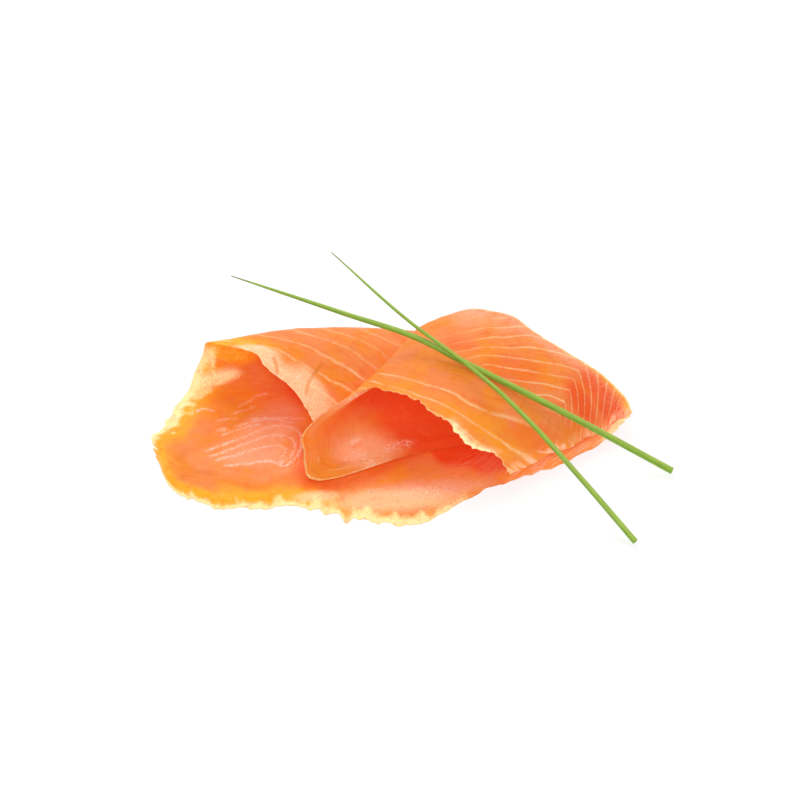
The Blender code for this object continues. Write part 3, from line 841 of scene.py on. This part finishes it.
chives = {
    "long": {"route": [(-55.0, 33.7, 42.0), (-22.0, 23.0, 35.9), (3.5, 14.4, 31.0), (14.2, 9.0, 27.8),
                       (24.9, 4.9, 24.1), (45.0, -1.4, 16.0), (77.3, -10.8, 1.4)],
             "diameter": [(0, 0.3), (0.08, 0.8), (0.3, 1.6), (0.6, 1.9), (1, 2.1)]},
    "slim": {"route": [(-24.8, 41.8, 45.5), (-0.2, 18.5, 34.7), (15.0, 6.3, 29.1), (25.7, -3.2, 24.6),
                       (34.9, -12.3, 19.6), (49.0, -27.4, 10.5), (63.4, -44.2, 1.2)],
             "diameter": [(0, 0.3), (0.08, 0.6), (0.4, 1.2), (0.7, 1.5), (1, 1.8)]},
    "rings": 220, "sides": 20, "wall": 0.32, "hollow": 5.0, "hollowRings": 8, "ridge": 0.035, "ridges": 5,
    "leaf": (150, 193, 44), "shade": (106, 150, 26), "paintedHighlight": (206, 226, 106), "tip": (138, 144, 88),
    "highlightShare": 0.45, "shadeShare": 0.3, "roughness": 0.38, "veinDepth": 0.0002,
    "fixed": {"Subsurface Weight": 0.15, "Subsurface Radius": (0.4, 1.0, 0.2), "Subsurface Scale": 0.001,
              "Coat Roughness": 0.2},
}


def chiveRings(chive):   # rings of a slightly ridged circle along the route, turned in at the cut end
    route = np.array(chive["route"])
    run = np.concatenate([[0], np.cumsum(np.linalg.norm(np.diff(route, axis=0), axis=1))])
    length = run[-1]
    share = np.linspace(0, 1, chives["rings"])
    back = 1 - np.linspace(0, chives["hollow"] / length, chives["hollowRings"])
    at = np.concatenate([share, back])
    knots = [np.column_stack([run / length, route[:, k]]) for k in range(3)]
    axis = np.column_stack([curveThrough(k, at) for k in knots])
    radius = curveThrough(chive["diameter"], at) / 2
    radius[len(share):] -= chives["wall"]
    ahead = np.gradient(axis[:len(share)], axis=0)
    ahead = np.concatenate([ahead, np.repeat(ahead[-1:], len(back), axis=0)])
    ahead /= np.linalg.norm(ahead, axis=1, keepdims=True)
    side = np.cross(ahead, [0, 0, 1.0])
    side /= np.linalg.norm(side, axis=1, keepdims=True)
    top = np.cross(side, ahead)
    angle = np.linspace(0, 2 * np.pi, chives["sides"], endpoint=False)
    outside = np.arange(len(at)) < len(share)
    ridges = 1 + chives["ridge"] * np.cos(chives["ridges"] * angle)[None, :] * outside[:, None]
    spread = radius[:, None] * ridges
    rings = (axis[:, None] + spread[..., None] * (np.cos(angle)[None, :, None] * side[:, None]
                                                  + np.sin(angle)[None, :, None] * top[:, None]))
    notes = np.stack(np.broadcast_arrays(at[:, None], np.cos(angle)[None, :], np.sin(angle)[None, :]), -1)
    return rings, axis, notes


def makeChive(name, chive):   # the rings' quads, with a fan of triangles at either end
    rings, axis, notes = chiveRings(chive)
    rows, columns = rings.shape[:2]
    points = np.concatenate([rings.reshape(-1, 3), axis[:1], axis[-1:]])
    quads = gridQuads(rows, columns, closed=True)[:, ::-1]
    j = np.arange(columns)
    k = (j + 1) % columns
    last = (rows - 1) * columns
    tip = np.stack([k, j, np.full(columns, rows * columns)], -1)
    end = np.stack([last + j, last + k, np.full(columns, rows * columns + 1)], -1)
    notes = np.concatenate([notes.reshape(-1, 3), [[0, 0, 0], [1, 0, 0]]])
    return makeMesh(name, points, quads.tolist() + tip.tolist() + end.tolist(), {"blade": notes})


def chiveFinish():   # two greens along the veins, a painted highlight that makes the top paler, and greyer at the thin end
    paint = Paint("chive_leaf", chives["fixed"])
    share, across, up = paint.note("blade")
    veins = paint.noise(paint.join(across * 3.0, up * 3.0, share * 14), 2.2, 2.0, 0.6)
    broad = paint.noise(paint.join(across, up, share * 9), 1.2, 2.0, 0.5)
    colour = paint.blend(veins.between(0.35, 0.65), linear(*chives["shade"]), linear(*chives["leaf"]))
    # Painted highlight: the upper side of each chive is laid paler, standing in for the light falling on it
    # from above.
    highlightMask = (up.between(0.1, 1.0) * chives["highlightShare"]).held()
    colour = paint.blend(highlightMask, colour, linear(*chives["paintedHighlight"]))
    colour = paint.blend(broad.between(0.5, 0.75) * chives["shadeShare"], colour, linear(*chives["shade"]))
    colour = paint.blend(1 - share.between(0.0, 0.06), colour, linear(*chives["tip"]))
    paint.set("Base Color", colour)
    paint.set("Roughness", (chives["roughness"] + (broad - 0.5) * 0.2).held())
    paint.set("Normal", paint.bump(veins, 0.5, chives["veinDepth"]))
    return paint.material


# Floor, light and camera

studio = {
    "floor": (160, 160, 160), "floorGlow": 0.69, "world": 0.54,
    "lights": [   # name, place in m, size in m, power in W, aimed at the origin
        ("back_softbox", (-0.25, 0.9, 0.9), 0.9, 7.4),
        ("front_softbox", (-0.5, -0.8, 1.1), 1.0, 4.2),
        ("right_softbox", (0.9, -0.2, 0.8), 0.8, 2.2),
    ],
    "lens": 100.0, "elevation": 35.0, "distance": 0.6944, "aim": (-3.75, 28.0, 0.0),
}


def makeStudio():   # floor, even room light and three soft boxes turned to the origin
    bpy.ops.mesh.primitive_plane_add(size=6)
    floor = bpy.context.object
    floor.name = "floor"
    paint = Paint("pale_floor", {"Roughness": 0.9, "Base Color": linear(*studio["floor"]),
                                 "Emission Color": (1, 1, 1, 1), "Emission Strength": studio["floorGlow"]})
    floor.data.materials.append(paint.material)
    world = bpy.data.worlds.new("soft_room")
    bpy.context.scene.world = world
    world.use_nodes = True
    background = world.node_tree.nodes["Background"]
    background.inputs["Color"].default_value = (1, 1, 1, 1)
    background.inputs["Strength"].default_value = studio["world"]
    for name, place, size, power in studio["lights"]:
        lamp = bpy.data.lights.new(name, "AREA")
        lamp.size, lamp.energy = size, power
        holder = bpy.data.objects.new(name, lamp)
        holder.location = place
        aim = -np.array(place)
        holder.rotation_euler = (np.pi / 2 + np.arctan2(aim[2], np.hypot(aim[0], aim[1])), 0,
                                 np.arctan2(-aim[0], aim[1]))
        bpy.context.scene.collection.objects.link(holder)


def makeCamera():   # behind the aim point by the distance, looking down by the elevation
    tilt = np.radians(studio["elevation"])
    aim = (np.array(studio["aim"]) - centre) * mm
    lens = bpy.data.cameras.new("photo_view")
    lens.lens, lens.sensor_width = studio["lens"], 36.0
    camera = bpy.data.objects.new("photo_view", lens)
    camera.location = aim + studio["distance"] * np.array([0, -np.cos(tilt), np.sin(tilt)])
    camera.rotation_euler = (np.pi / 2 - tilt, 0, 0)
    bpy.context.scene.collection.objects.link(camera)
    bpy.context.scene.camera = camera
    bpy.context.scene.view_settings.view_transform = "Standard"


makeCamera()
makeStudio()
print("studio and camera ready")

fishLook = fishFinish()
leafLook = chiveFinish()
print("finishes ready")

pieces = [
    (makeLowerSlice(), "lower_slice", "smoked_fish", fishLook),
    (makeUpperSlice(), "upper_slice", "smoked_fish", fishLook),
    (makeChive("chive_long", chives["long"]), "long_chive", "chive_green", leafLook),
    (makeChive("chive_slim", chives["slim"]), "slim_chive", "chive_green", leafLook),
]
for piece, node, slot, look in pieces:
    piece.data.materials.append(look)
    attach(piece, "root")
    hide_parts(node)
    print(piece.name, len(piece.data.polygons), "faces")
